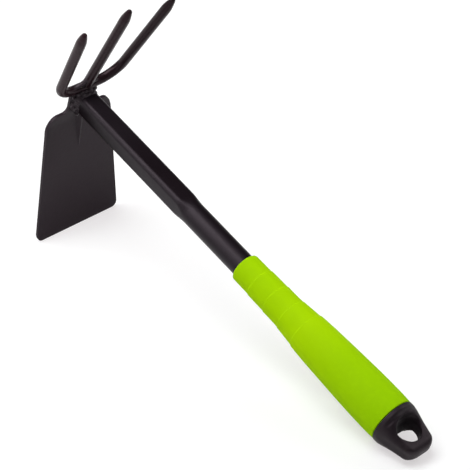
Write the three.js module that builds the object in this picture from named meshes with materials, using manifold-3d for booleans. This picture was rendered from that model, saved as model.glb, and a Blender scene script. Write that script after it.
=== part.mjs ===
// Double hoe: a hand tool with a hoe blade on one side of its head and a three-tine
// cultivator fork on the other. The head is welded to a pressed steel tube, which carries
// a green overmoulded grip and a black end cap with a hanging eye.
//
// Units are millimetres. The pieces are made in the tool's own frame: +X runs along the
// shaft from the neck's face to the cap, +Y is sideways and +Z is up towards the tines.
// The whole tool is then tipped until the blade's edge and the cap's collar touch the
// ground, and it is placed with the middle of its footprint at the origin.

import * as THREE from 'three';
import { mergeVertices } from 'three/addons/utils/BufferGeometryUtils.js';
import Module from 'manifold-3d';

// Shared by all pieces
const GAP = 0.3; // between two pieces that touch
const OVERRUN = 4; // how far a cutting body runs past what it cuts

// Hoe blade: one stamped and bent sheet with a neck
const SHEET = 2.5; // thickness
const EDGE_WIDTH = 80.5; // along the cutting edge, before its corners are rounded
const SHOULDER_WIDTH = 59.5; // where the sides meet the line of the shoulders
const SHOULDER_DROP = 9.7; // from the shaft's centre line down to the shoulders
const EDGE_DROP = 123; // from the shaft's centre line down to the cutting edge
const SHOULDER_ROUND_WIDTH = 10; // the shoulder's corner is a quarter of an ellipse
const SHOULDER_ROUND_HEIGHT = 16.5;
const EDGE_CORNER_RADIUS = 5;
const NECK_WIDTH = 24.2;
const NECK_FILLET = 5;
const BEND_DROP = 18.4; // from the shaft's centre line down to the bend
const BLADE_LEAN = 12; // degrees that the blade turns towards the handle below the bend
const BEVEL_LENGTH = 6; // ground on the face away from the handle
const EDGE_LAND = 0.8; // what the grinding leaves of the thickness
const DART_END_DROP = 46; // the pressed dart runs from the tube's weld down to here
const DART_HALF_WIDTH = 3.6;
const DART_HEIGHT = 3;
// along the dart from its top, and its size there as a share of the full section
const DART_SHARES = [[0, 0.55], [0.03, 0.85], [0.09, 1], [1, 0.1]];

// Fork: a U of round bar for the outer tines and a straight middle tine
const BAR = 7.6; // diameter
const CROSS_RISE = 14.7; // from the shaft's centre line up to the crosspiece's centre
const CROSS_SET = 1.1; // the crosspiece's centre in front of the neck's face
const CROSS_HALF_SPAN = 27.2; // to the point where the tine's line meets the crosspiece's
const BAR_BEND_RADIUS = 19.8; // of the bar's centre line
const OUTER_LENGTH = 98; // from the crosspiece's centre line to the points' height
const OUTER_SPLAY = 13.3; // how far each outer point stands outside its foot
const OUTER_LEAN = 17.3; // degrees towards the handle
const MIDDLE_LENGTH = 102.4; // from the crosspiece's centre line to the point
const MIDDLE_LEAN = 15.9;
const POINT_LENGTH = 13;
// along the point from its root, and the radius there as a share of the bar's
const POINT_SHARES = [[0, 1], [0.25, 0.95], [0.6, 0.76], [0.88, 0.55], [0.97, 0.44], [1, 0.26]];

// Shaft tube
const TUBE = 18.4; // outside diameter over the coat where it is round
const TUBE_WALL = 1.5;
const PRESSED_WIDTH = 17;
const PRESSED_HEIGHT = 16.8;
const PRESSED_CORNER = 4.2;
const PRESSED_END = 121; // from the neck to the end of the pressed length
const ROUND_START = 134; // from the neck to where the tube is fully round
const TUBE_END_SET = 17.5; // the tube's end stands this far inside the grip's end

// Welds
const TUBE_BEAD_LEG = 2.6; // on the neck
const TUBE_BEAD_RUN = 6.4; // along the tube
const BEAD_HOLLOW = 1.4; // how hollow the tube's bead is; 1 is straight
const BEAD_TOE_SHARE = 0.1; // of the leg, left where the bead ends on the tube
const BEAD_RIPPLE = 0.25; // height of the ripples
const BEAD_RIPPLE_PITCH = 3.4;
const RIPPLE_STEPS = 4; // sections per ripple of a straight bead
const BEAD_END_SHARE = 0.45; // of a bead's size, at its two ends
const BEAD_END_RATE = 8; // how fast a bead grows from its ends, in sizes per length
const FORK_BEAD = 2.3; // radius of the bead between neck and crosspiece
const FORK_BEAD_SET_SHARE = 0.25; // its centre in front of the neck, of its radius
const TINE_FILLET = 9; // leg of the fillets at the foot of the middle tine
const TINE_FILLET_WIDTH = 5.4;
const TINE_FILLET_HOLLOW_SHARE = 0.25; // of the leg, left at the hollow's deepest place
const TINE_FILLET_ROUND_SHARE = 0.25; // of the width, rounded off on each face
const TINE_FILLET_STEPS = 3;

// Grip: a green sleeve moulded over a stiff core
const GRIP_START = 191.5; // from the neck's face to the grip's front
const GRIP_LENGTH = 156;
const PALM_RADIUS = 18; // the largest radius
const SLEEVE_WALL = 2.6;
const LIP_ROUND = 1.6; // rounding of the front lip
const RING_STEP = 0.35; // each ring's front edge stands this far proud
const RING_STEP_LENGTH = 0.9;
const RING_STEP_SHARES = [1, 0.33, 0]; // sections in front of a ring's edge
// places of the ring edges as shares of the grip's length
const RING_SHARES = [0.115, 0.223, 0.329, 0.435];
const RINGS_END_SHARE = 0.5; // where the last ring has faded away
// the outline as shares of the grip's length and of the palm radius, without the rings
const GRIP_SHARES = [
  [0, 0.645], [0.033, 0.648], [0.115, 0.654], [0.17, 0.67], [0.223, 0.683],
  [0.28, 0.691], [0.315, 0.706], [0.345, 0.732], [0.38, 0.764], [0.42, 0.801],
  [0.45, 0.84], [0.47, 0.858], [0.516, 0.893], [0.58, 0.916], [0.66, 0.944],
  [0.75, 0.972], [0.84, 0.994], [0.91, 1], [0.96, 1], [1, 0.98],
];
const CORE_THINNEST = 0.8; // at the core's front end
const CORE_END_SET = 1.2; // the core stops this far inside the sleeve's end
const CORE_WALL = 1.6; // left round the core's pockets
const POCKET_COUNT = 6;
const POCKET_DEPTH = 60;
const POCKET_RIB = 2.4; // between two pockets
const POCKET_SHARES = [0, 0.33, 0.67, 1]; // a pocket's sections along its depth

// End cap with its hanging eye
const CAP_LENGTH = 31;
const COLLAR_RADIUS = 17.8;
const COLLAR_LENGTH = 3;
const CAP_END_HALF_WIDTH = 11.2;
const CAP_END_HALF_HEIGHT = 6.2;
const CAP_HEIGHT_FALL = 7.5; // in this length the height falls most of the way to the end's
const CAP_HEIGHT_POWER = 1.3; // 1 falls at once, more stays high at first
const CAP_SECTION_CORNER = 3.2; // of the flat end's section
const CAP_CORNER_FALL = 6.6; // in this length the section turns from round to flat
const CAP_CORNER_POWER = 1.2;
// places of the body's sections between the collar and the end's corners
const CAP_STATION_SHARES = [0.05, 0.1, 0.16, 0.23, 0.31, 0.4, 0.52, 0.68, 0.84, 1];
const CAP_CORNER = 6.4; // of the end's outline seen from above
const CAP_EDGE_ROUND = 4; // of the end seen from the side
const EYE_FROM_END = 15.4; // from the cap's end back to the eye's centre
const EYE_RISE = 1.1; // of the throat's middle above the shaft's centre line
const EYE_HALF_LENGTH = 6.8; // of the oval throat, along the shaft
const EYE_HALF_WIDTH = 8; // across it
const EYE_LAND = 2.7; // half the depth of the straight throat
const EYE_FLARE_UP = 5; // depth of the upper mouth's flare
const EYE_FLARE_DOWN = 9;
const EYE_LENGTH_FLARE_SHARE = 0.65; // growth along the shaft, of the flare's depth
const EYE_WIDTH_FLARE_SHARE = 0.87; // growth across it
const PLUG_LENGTH = 26; // of the shank that enters the tube
const PLUG_ROOT = 1; // its depth inside the cap's body
const PLUG_CORE_SHARE = 0.72; // its core's radius, of the tube's bore
const PLUG_RIB = 2;
const PLUG_CLEARANCE = 0.3;

// Finish
const BLACK_COAT = { color: 0x26242a, roughness: 0.42, metalness: 0.25 };
const WELD_COAT = { color: 0x2b292f, roughness: 0.5, metalness: 0.25 };
const GREEN_RUBBER = { color: 0x97cf00, roughness: 0.62, metalness: 0 };
const CORE_PLASTIC = { color: 0x1c1c1e, roughness: 0.6, metalness: 0 };
const CAP_PLASTIC = { color: 0x232126, roughness: 0.48, metalness: 0 };

// Number of flat sides that stand for a round
const BAR_SIDES = 16;
const TUBE_CORNER_STEPS = 7;
const GRIP_SIDES = 48;
const EYE_SIDES = 36;
const ARC_STEPS = 8;

const wasm = await Module();
wasm.setup();

const rad = THREE.MathUtils.degToRad;
const barRadius = BAR / 2;
const tubeRadius = TUBE / 2;
const boreRadius = tubeRadius - TUBE_WALL;
const gripEnd = GRIP_START + GRIP_LENGTH;
const tubeEnd = gripEnd - TUBE_END_SET;
const sleeveBore = tubeRadius + GAP;

// Solids and geometries

function outward(geometry) {
  const position = geometry.getAttribute('position');
  const index = geometry.getIndex();
  const a = new THREE.Vector3();
  const b = new THREE.Vector3();
  const c = new THREE.Vector3();
  let volume = 0;
  for (let i = 0; i < index.count; i += 3) {
    a.fromBufferAttribute(position, index.getX(i));
    b.fromBufferAttribute(position, index.getX(i + 1));
    c.fromBufferAttribute(position, index.getX(i + 2));
    volume += a.dot(b.cross(c));
  }
  if (volume < 0) {
    for (let i = 0; i < index.count; i += 3) {
      const first = index.getX(i);
      index.setX(i, index.getX(i + 1));
      index.setX(i + 1, first);
    }
  }
  return geometry;
}

function toSolid(geometry) {
  const bare = geometry.clone();
  bare.deleteAttribute('normal');
  bare.deleteAttribute('uv');
  const merged = outward(mergeVertices(bare));
  return new wasm.Manifold(new wasm.Mesh({
    numProp: 3,
    vertProperties: new Float32Array(merged.getAttribute('position').array),
    triVerts: new Uint32Array(merged.getIndex().array),
  }));
}

function toGeometry(solid) {
  const mesh = solid.getMesh();
  const geometry = new THREE.BufferGeometry();
  geometry.setAttribute('position', new THREE.BufferAttribute(new Float32Array(mesh.vertProperties), 3));
  geometry.setIndex(new THREE.BufferAttribute(new Uint32Array(mesh.triVerts), 1));
  return geometry;
}

// A profile drawn as x and z becomes a body of the given width across y.
function acrossY(shape, width) {
  const geometry = new THREE.ExtrudeGeometry(shape, { depth: width, bevelEnabled: false });
  geometry.rotateX(Math.PI / 2);
  return toSolid(geometry.translate(0, width / 2, 0));
}

// An outline drawn as y and z becomes a body that runs along x.
function alongX(shape, from, to) {
  const geometry = new THREE.ExtrudeGeometry(shape, { depth: to - from, bevelEnabled: false });
  const turn = new THREE.Matrix4().makeBasis(
    new THREE.Vector3(0, 1, 0),
    new THREE.Vector3(0, 0, 1),
    new THREE.Vector3(1, 0, 0),
  );
  return toSolid(geometry.applyMatrix4(turn).translate(from, 0, 0));
}

// A profile of radius and place along the axis, turned about the X axis.
function turned(profile, sides) {
  const points = profile.map(([x, radius]) => new THREE.Vector2(radius, x));
  return new THREE.LatheGeometry(points, sides).rotateZ(-Math.PI / 2);
}

// Rings of points, each with the same count, joined into a closed skin with flat ends.
function loft(rings) {
  const count = rings[0].length;
  const points = rings.flat();
  const triangles = [];
  for (let ring = 0; ring + 1 < rings.length; ring += 1) {
    for (let i = 0; i < count; i += 1) {
      const a = ring * count + i;
      const b = ring * count + ((i + 1) % count);
      triangles.push(a, b, a + count, b, b + count, a + count);
    }
  }
  const last = (rings.length - 1) * count;
  for (let i = 1; i + 1 < count; i += 1) {
    triangles.push(0, i + 1, i, last, last + i, last + i + 1);
  }
  const geometry = new THREE.BufferGeometry().setFromPoints(points);
  geometry.setIndex(triangles);
  return outward(geometry);
}

// A rectangle with round corners; a circle when both half sizes equal the corner radius.
function roundedSection(x, halfWidth, halfHeight, corner) {
  const ring = [];
  for (let quarter = 0; quarter < 4; quarter += 1) {
    const y = (quarter === 0 || quarter === 3 ? 1 : -1) * (halfWidth - corner);
    const z = (quarter < 2 ? 1 : -1) * (halfHeight - corner);
    for (let step = 0; step <= TUBE_CORNER_STEPS; step += 1) {
      const angle = (quarter + step / TUBE_CORNER_STEPS) * Math.PI / 2;
      ring.push(new THREE.Vector3(x, y + corner * Math.cos(angle), z + corner * Math.sin(angle)));
    }
  }
  return ring;
}

// Hoe blade

function bladeX(drop) {
  return Math.max(0, drop - BEND_DROP) * Math.tan(rad(BLADE_LEAN));
}

function bladeOutline(top) {
  const neck = NECK_WIDTH / 2;
  const side = (drop) => SHOULDER_WIDTH / 2
    + (EDGE_WIDTH - SHOULDER_WIDTH) / 2 * (drop - SHOULDER_DROP) / (EDGE_DROP - SHOULDER_DROP);
  const shoulderEnd = SHOULDER_DROP + SHOULDER_ROUND_HEIGHT;
  const flare = side(shoulderEnd);
  const cornerTop = EDGE_DROP - EDGE_CORNER_RADIUS;
  const half = [[neck, -top], [neck, SHOULDER_DROP - NECK_FILLET]];
  for (let step = 1; step <= ARC_STEPS; step += 1) {
    const angle = step / ARC_STEPS * Math.PI / 2;
    half.push([
      neck + NECK_FILLET * (1 - Math.cos(angle)),
      SHOULDER_DROP - NECK_FILLET * (1 - Math.sin(angle)),
    ]);
  }
  for (let step = 0; step <= ARC_STEPS; step += 1) {
    const angle = step / ARC_STEPS * Math.PI / 2;
    half.push([
      flare - SHOULDER_ROUND_WIDTH * (1 - Math.sin(angle)),
      shoulderEnd - SHOULDER_ROUND_HEIGHT * Math.cos(angle),
    ]);
  }
  for (let step = 0; step <= ARC_STEPS; step += 1) {
    const angle = step / ARC_STEPS * Math.PI / 2;
    half.push([
      side(cornerTop) - EDGE_CORNER_RADIUS * (1 - Math.cos(angle)),
      cornerTop + EDGE_CORNER_RADIUS * Math.sin(angle),
    ]);
  }
  const right = half.map(([y, drop]) => new THREE.Vector2(y, -drop));
  const left = half.map(([y, drop]) => new THREE.Vector2(-y, -drop)).reverse();
  return new THREE.Shape([...right, ...left]);
}

// The sheet seen from the side, with the bevel ground off its front face at the edge.
function bladeProfile(top) {
  const lean = rad(BLADE_LEAN);
  const bendOutside = BEND_DROP - SHEET * Math.tan(lean / 2);
  const bevelTop = EDGE_DROP - BEVEL_LENGTH;
  const across = SHEET / Math.cos(lean);
  const land = EDGE_LAND / Math.cos(lean);
  return new THREE.Shape([
    new THREE.Vector2(0, top),
    new THREE.Vector2(0, -BEND_DROP),
    new THREE.Vector2(bladeX(EDGE_DROP), -EDGE_DROP),
    new THREE.Vector2(bladeX(EDGE_DROP) - land, -EDGE_DROP),
    new THREE.Vector2(bladeX(bevelTop) - across, -bevelTop),
    new THREE.Vector2(-SHEET, -bendOutside),
    new THREE.Vector2(-SHEET, top),
  ]);
}

// A long half cone that braces the bend, raised towards the handle from below the weld.
function dartBody(offset) {
  const start = PRESSED_HEIGHT / 2 + beadGrowth(0) + BEAD_RIPPLE + GAP;
  const rings = DART_SHARES.map(([place, size]) => {
    const drop = start + (DART_END_DROP - start) * place;
    const ring = [];
    for (let i = 0; i < BAR_SIDES; i += 1) {
      const angle = i / BAR_SIDES * Math.PI * 2;
      ring.push(new THREE.Vector3(
        bladeX(DART_END_DROP) * place + offset + DART_HEIGHT * size * Math.cos(angle),
        DART_HALF_WIDTH * size * Math.sin(angle),
        -drop,
      ));
    }
    return ring;
  });
  return toSolid(loft(rings));
}

// The neck ends just under the crosspiece that stands on its rear edge.
function neckTop() {
  const reach = Math.sqrt(Math.max(0, barRadius ** 2 - CROSS_SET ** 2));
  return CROSS_RISE - reach - GAP;
}

function hoeBlade() {
  const top = neckTop();
  const sheet = acrossY(bladeProfile(top), EDGE_WIDTH + OVERRUN);
  const outline = alongX(bladeOutline(top), -SHEET - OVERRUN, bladeX(EDGE_DROP) + OVERRUN);
  return toGeometry(sheet.intersect(outline).add(dartBody(0)).subtract(dartBody(-SHEET)));
}

// Fork

// A bar along stations in a leaning plane: y sideways, h up the plane, with its own radius.
function bar(stations, lean, foot) {
  const up = new THREE.Vector3(Math.sin(rad(lean)), 0, Math.cos(rad(lean)));
  const side = new THREE.Vector3(0, 1, 0);
  const normal = new THREE.Vector3().crossVectors(side, up);
  const rings = stations.map(({ y, h, angle, radius }) => {
    const centre = foot.clone().addScaledVector(side, y).addScaledVector(up, h);
    const across = side.clone().multiplyScalar(-Math.sin(angle)).addScaledVector(up, Math.cos(angle));
    const ring = [];
    for (let i = 0; i < BAR_SIDES; i += 1) {
      const turn = (i + 1 / 2) / BAR_SIDES * Math.PI * 2;
      ring.push(centre.clone()
        .addScaledVector(across, radius * Math.cos(turn))
        .addScaledVector(normal, radius * Math.sin(turn)));
    }
    return ring;
  });
  return loft(rings);
}

function crossFoot() {
  return new THREE.Vector3(CROSS_SET, 0, CROSS_RISE);
}

function outerTines() {
  const outAngle = Math.atan2(OUTER_LENGTH, OUTER_SPLAY); // of the tine's line from +Y
  const tineLength = Math.hypot(OUTER_LENGTH, OUTER_SPLAY);
  const tangent = BAR_BEND_RADIUS * Math.tan(outAngle / 2);
  const bendY = CROSS_HALF_SPAN - tangent;
  const half = [];
  for (let step = 0; step <= ARC_STEPS; step += 1) {
    const angle = outAngle * step / ARC_STEPS;
    half.push({
      y: bendY + BAR_BEND_RADIUS * Math.sin(angle),
      h: BAR_BEND_RADIUS * (1 - Math.cos(angle)),
      angle,
      radius: barRadius,
    });
  }
  for (const [share, size] of POINT_SHARES) {
    const along = tineLength - POINT_LENGTH * (1 - share);
    half.push({
      y: CROSS_HALF_SPAN + along * Math.cos(outAngle),
      h: along * Math.sin(outAngle),
      angle: outAngle,
      radius: barRadius * size,
    });
  }
  const mirrored = half.map(({ y, h, angle, radius }) => ({ y: -y, h, angle: -angle, radius }));
  return bar([...mirrored.reverse(), ...half], OUTER_LEAN, crossFoot());
}

function middleTine() {
  const upright = Math.PI / 2;
  const stations = [{ y: 0, h: 0, angle: upright, radius: barRadius }];
  for (const [share, size] of POINT_SHARES) {
    stations.push({
      y: 0,
      h: MIDDLE_LENGTH - POINT_LENGTH * (1 - share),
      angle: upright,
      radius: barRadius * size,
    });
  }
  const tine = toSolid(bar(stations, MIDDLE_LEAN, crossFoot()));
  return toGeometry(tine.subtract(crossCutter()));
}

// The crosspiece with its clearance, for pieces that are fitted against it.
function crossCutter() {
  const length = CROSS_HALF_SPAN * 2;
  const cutter = new THREE.CylinderGeometry(barRadius + GAP, barRadius + GAP, length, BAR_SIDES * 2);
  return toSolid(cutter.translate(CROSS_SET, 0, CROSS_RISE));
}

// Shaft tube

function tubeSection(x, inset) {
  const share = THREE.MathUtils.smoothstep(x, PRESSED_END, ROUND_START);
  const mix = (from, to) => from + (to - from) * share - inset;
  return roundedSection(
    x,
    mix(PRESSED_WIDTH / 2, tubeRadius),
    mix(PRESSED_HEIGHT / 2, tubeRadius),
    mix(PRESSED_CORNER, tubeRadius),
  );
}

function tubeSkin(from, to, inset) {
  const stations = [from];
  for (let step = 0; step <= ARC_STEPS; step += 1) {
    stations.push(PRESSED_END + (ROUND_START - PRESSED_END) * step / ARC_STEPS);
  }
  stations.push(to);
  return toSolid(loft(stations.map((x) => tubeSection(x, inset))));
}

function handleTube() {
  const outside = tubeSkin(GAP, tubeEnd, 0);
  const bore = tubeSkin(GAP - OVERRUN, tubeEnd + OVERRUN, TUBE_WALL);
  return toGeometry(outside.subtract(bore));
}

// Welds

// How far the bead stands off the tube at a share of its run from the neck.
function beadGrowth(share) {
  return GAP + TUBE_BEAD_LEG * ((1 - share) ** BEAD_HOLLOW + BEAD_TOE_SHARE);
}

// A bead right round the tube's end, wide on the neck and thin on the tube. Above the
// tube it climbs to the crosspiece.
function tubeWeld() {
  const steps = ARC_STEPS;
  const girth = 2 * (PRESSED_WIDTH + PRESSED_HEIGHT);
  const ripples = Math.round(girth / BEAD_RIPPLE_PITCH);
  const climb = CROSS_RISE - barRadius / 2 - PRESSED_HEIGHT / 2 - beadGrowth(0);
  const rings = [];
  for (let step = 0; step <= steps; step += 1) {
    const share = step / steps;
    const x = GAP + TUBE_BEAD_RUN * share;
    const grow = beadGrowth(share);
    const ring = roundedSection(
      x,
      PRESSED_WIDTH / 2 + grow,
      PRESSED_HEIGHT / 2 + grow,
      PRESSED_CORNER + grow,
    );
    ring.forEach((point, i) => {
      const wave = Math.cos(i / ring.length * ripples * Math.PI * 2 + share * Math.PI);
      const radial = new THREE.Vector3(0, point.y, point.z).normalize();
      point.addScaledVector(radial, BEAD_RIPPLE * wave * (1 - share));
      if (point.z > 0) point.z += climb * (1 - share) ** BEAD_HOLLOW;
    });
    rings.push(ring);
  }
  const hole = toSolid(loft([GAP - OVERRUN, TUBE_BEAD_RUN + OVERRUN].map((x) => roundedSection(
    x,
    PRESSED_WIDTH / 2 + GAP,
    PRESSED_HEIGHT / 2 + GAP,
    PRESSED_CORNER + GAP,
  ))));
  return toGeometry(toSolid(loft(rings)).subtract(hole).subtract(crossCutter()));
}

// A rippled bead between the neck's top edge and the crosspiece, on the neck's front face.
function forkWeld() {
  const face = -SHEET - GAP;
  const half = NECK_WIDTH / 2 - FORK_BEAD / 2;
  const steps = Math.round(half * 2 / BEAD_RIPPLE_PITCH) * RIPPLE_STEPS;
  const rings = [];
  for (let step = 0; step <= steps; step += 1) {
    const share = step / steps;
    const end = Math.min(1, Math.min(share, 1 - share) * BEAD_END_RATE + BEAD_END_SHARE);
    const wave = Math.cos(step / RIPPLE_STEPS * Math.PI * 2);
    const size = FORK_BEAD * end + BEAD_RIPPLE * wave;
    const ring = [];
    for (let i = 0; i < BAR_SIDES; i += 1) {
      const angle = i / BAR_SIDES * Math.PI * 2;
      ring.push(new THREE.Vector3(
        face - FORK_BEAD * FORK_BEAD_SET_SHARE + size * Math.cos(angle),
        half * (share * 2 - 1),
        neckTop() + size * Math.sin(angle),
      ));
    }
    rings.push(ring);
  }
  const depth = FORK_BEAD * 2;
  const wall = new THREE.BoxGeometry(depth, EDGE_WIDTH, CROSS_RISE * 2);
  wall.translate(face + depth / 2, 0, neckTop() + GAP - CROSS_RISE);
  return toGeometry(toSolid(loft(rings)).subtract(toSolid(wall)).subtract(crossCutter()));
}

// The fillet between the middle tine's foot and the crosspiece, on one side of the tine.
function tineWeld(side) {
  const far = barRadius + TINE_FILLET;
  const toe = barRadius + GAP * 2;
  const deepest = barRadius + TINE_FILLET * TINE_FILLET_HOLLOW_SHARE;
  const round = TINE_FILLET_WIDTH * TINE_FILLET_ROUND_SHARE;
  const depth = TINE_FILLET_WIDTH - round * 2;
  const shape = new THREE.Shape();
  shape.moveTo(0, 0);
  shape.lineTo(far, 0);
  shape.lineTo(far, toe);
  shape.quadraticCurveTo(deepest, deepest, toe, far);
  shape.lineTo(0, far);
  const geometry = new THREE.ExtrudeGeometry(shape, {
    depth,
    bevelEnabled: true,
    bevelSize: -round / 2,
    bevelOffset: round / 2,
    bevelThickness: round,
    bevelSegments: TINE_FILLET_STEPS,
    curveSegments: ARC_STEPS,
  });
  geometry.translate(0, 0, -depth / 2);
  const lean = rad(MIDDLE_LEAN);
  const up = new THREE.Vector3(Math.sin(lean), 0, Math.cos(lean));
  const out = new THREE.Vector3(0, side, 0);
  const normal = new THREE.Vector3().crossVectors(out, up);
  const place = new THREE.Matrix4().makeBasis(out, up, normal).setPosition(crossFoot());
  const body = toSolid(geometry.applyMatrix4(place));
  const rod = new THREE.CylinderGeometry(barRadius + GAP, barRadius + GAP, MIDDLE_LENGTH * 2, BAR_SIDES * 2);
  rod.rotateX(Math.PI / 2);
  rod.rotateY(lean);
  rod.translate(CROSS_SET, 0, CROSS_RISE);
  return toGeometry(body.subtract(toSolid(rod)).subtract(crossCutter()));
}

// Grip

function gripRadius(share) {
  const next = GRIP_SHARES.findIndex(([place]) => place >= share);
  const after = GRIP_SHARES[Math.max(1, next)];
  const before = GRIP_SHARES[Math.max(1, next) - 1];
  const t = (share - before[0]) / (after[0] - before[0]);
  return PALM_RADIUS * (before[1] + (after[1] - before[1]) * t);
}

// How far the rings lift the outline: each ring starts with a step that then fades away.
function ringLift(x) {
  let lift = 0;
  RING_SHARES.forEach((share, i) => {
    const edge = share * GRIP_LENGTH;
    const next = (RING_SHARES[i + 1] ?? RINGS_END_SHARE) * GRIP_LENGTH;
    if (x >= edge && x < next) lift = RING_STEP * (1 - (x - edge) / (next - edge));
  });
  return lift;
}

function gripStations() {
  const places = GRIP_SHARES.map(([share]) => share * GRIP_LENGTH);
  RING_SHARES.forEach((share) => {
    const edge = share * GRIP_LENGTH;
    places.push(...RING_STEP_SHARES.map((ahead) => edge - RING_STEP_LENGTH * ahead));
  });
  const sorted = places.filter((x) => x > LIP_ROUND * 2).sort((a, b) => a - b);
  return sorted.filter((x, i) => i === 0 || x - sorted[i - 1] > GAP / 2);
}

// The sleeve's outside, with its rings.
function sleeveOutline() {
  return gripStations().map((x) => [GRIP_START + x, gripRadius(x / GRIP_LENGTH) + ringLift(x)]);
}

// The smooth outline further in, without the rings.
function innerOutline(inset) {
  const outline = GRIP_SHARES.map(([place, share]) => [
    GRIP_START + place * GRIP_LENGTH,
    share * PALM_RADIUS - inset,
  ]);
  return outline.filter(([, radius]) => radius > sleeveBore + CORE_THINNEST);
}

function gripSleeve() {
  const front = gripRadius(0);
  const profile = [[GRIP_START, sleeveBore], [GRIP_START, front - LIP_ROUND]];
  for (let step = 1; step <= ARC_STEPS / 2; step += 1) {
    const angle = step / (ARC_STEPS / 2) * Math.PI / 2;
    profile.push([
      GRIP_START + LIP_ROUND * (1 - Math.cos(angle)),
      front - LIP_ROUND * (1 - Math.sin(angle)),
    ]);
  }
  profile.push(...sleeveOutline());
  const inside = innerOutline(SLEEVE_WALL);
  profile.push(...inside.reverse());
  profile.push([inside[inside.length - 1][0], sleeveBore]);
  profile.push([GRIP_START, sleeveBore]);
  return toGeometry(toSolid(turned(profile, GRIP_SIDES)));
}

function gripCore() {
  const inset = SLEEVE_WALL + GAP;
  const rear = gripEnd - CORE_END_SET;
  const outline = innerOutline(inset).filter(([x]) => x < rear);
  const end = gripRadius(1 - CORE_END_SET / GRIP_LENGTH) - inset;
  const first = outline[0][0];
  const profile = [[first, sleeveBore], ...outline, [rear, end], [rear, sleeveBore], [first, sleeveBore]];
  let core = toSolid(turned(profile, GRIP_SIDES));
  for (let i = 0; i < POCKET_COUNT; i += 1) core = core.subtract(corePocket(i, rear));
  return toGeometry(core);
}

// One of the pockets that keep the core's walls thin, open at the cap's end.
function corePocket(number, rear) {
  const inset = SLEEVE_WALL + GAP + CORE_WALL;
  const start = rear - POCKET_DEPTH;
  const inner = sleeveBore + CORE_WALL;
  const step = Math.PI * 2 / POCKET_COUNT;
  const rings = POCKET_SHARES.map((share) => {
    const x = start + (POCKET_DEPTH + OVERRUN) * share;
    const outer = gripRadius(Math.min(1, (x - GRIP_START) / GRIP_LENGTH)) - inset;
    const ring = [];
    for (const [radius, order] of [[outer, 1], [inner, -1]]) {
      const half = step / 2 - POCKET_RIB / 2 / radius;
      for (let i = 0; i <= ARC_STEPS; i += 1) {
        const angle = number * step + order * (i / ARC_STEPS * 2 - 1) * half;
        ring.push(new THREE.Vector3(x, radius * Math.cos(angle), radius * Math.sin(angle)));
      }
    }
    return ring;
  });
  return toSolid(loft(rings));
}

// End cap

// Half sizes and corner radius of the cap's section at a distance behind the grip. The
// round collar runs out into a flat end with rounded corners.
function capSection(x) {
  const past = Math.max(0, x - COLLAR_LENGTH);
  const share = past / (CAP_LENGTH - COLLAR_LENGTH);
  const high = Math.exp(-((past / CAP_HEIGHT_FALL) ** CAP_HEIGHT_POWER));
  const round = Math.exp(-((past / CAP_CORNER_FALL) ** CAP_CORNER_POWER));
  const halfWidth = COLLAR_RADIUS + (CAP_END_HALF_WIDTH - COLLAR_RADIUS) * share
    - roundingAt(x, CAP_CORNER);
  const halfHeight = CAP_END_HALF_HEIGHT + (COLLAR_RADIUS - CAP_END_HALF_HEIGHT) * high
    - roundingAt(x, CAP_EDGE_ROUND);
  const corner = CAP_SECTION_CORNER + (COLLAR_RADIUS - CAP_SECTION_CORNER) * round;
  return [halfWidth, halfHeight, Math.min(corner, halfWidth, halfHeight)];
}

// How far a rounding of the cap's end draws its surface in.
function roundingAt(x, radius) {
  const inside = Math.max(0, x - (CAP_LENGTH - radius));
  return radius - Math.sqrt(Math.max(0, radius ** 2 - inside ** 2));
}

function capBody(start) {
  const stations = [0, COLLAR_LENGTH];
  const straight = CAP_LENGTH - COLLAR_LENGTH - CAP_CORNER;
  for (const share of CAP_STATION_SHARES) stations.push(COLLAR_LENGTH + straight * share);
  for (let step = 1; step <= ARC_STEPS; step += 1) {
    const angle = step / ARC_STEPS * Math.PI / 2;
    stations.push(CAP_LENGTH - CAP_CORNER * (1 - Math.sin(angle)));
  }
  return toSolid(loft(stations.map((x) => roundedSection(start + x, ...capSection(x)))));
}

// The eye: a short oval throat that opens into a flared mouth above and below.
function eyeCutter(start) {
  const stations = [
    [-COLLAR_RADIUS - OVERRUN, EYE_FLARE_DOWN],
    [EYE_RISE - EYE_LAND - EYE_FLARE_DOWN, EYE_FLARE_DOWN],
    [EYE_RISE - EYE_LAND, 0],
    [EYE_RISE + EYE_LAND, 0],
    [EYE_RISE + EYE_LAND + EYE_FLARE_UP, EYE_FLARE_UP],
    [COLLAR_RADIUS + OVERRUN, EYE_FLARE_UP],
  ];
  const rings = stations.map(([z, flare]) => {
    const halfLength = EYE_HALF_LENGTH + flare * EYE_LENGTH_FLARE_SHARE;
    const halfWidth = EYE_HALF_WIDTH + flare * EYE_WIDTH_FLARE_SHARE;
    const ring = [];
    for (let i = 0; i < EYE_SIDES; i += 1) {
      const angle = i / EYE_SIDES * Math.PI * 2;
      ring.push(new THREE.Vector3(halfLength * Math.cos(angle), halfWidth * Math.sin(angle), z));
    }
    return ring;
  });
  return toSolid(loft(rings).translate(start + CAP_LENGTH - EYE_FROM_END, 0, 0));
}

// The shank that holds the cap in the tube: a round core with four ribs and a tapered nose.
function capPlug(start) {
  const radius = boreRadius - PLUG_CLEARANCE;
  const core = radius * PLUG_CORE_SHARE;
  const nose = radius - core;
  const from = tubeEnd - PLUG_LENGTH;
  const shank = [[from, 0], [from, core - nose / 2], [from + nose, core], [start, core], [start, 0]];
  let plug = toSolid(turned(shank, GRIP_SIDES));
  const rib = new THREE.BoxGeometry(start - from - nose, radius * 2, PLUG_RIB);
  rib.translate((start + from + nose) / 2, 0, 0);
  for (const angle of [0, Math.PI / 2]) plug = plug.add(toSolid(rib.clone().rotateX(angle)));
  const round = [[from, 0], [from, core], [from + nose, radius], [start, radius], [start, 0]];
  return plug.intersect(toSolid(turned(round, GRIP_SIDES)));
}

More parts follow.
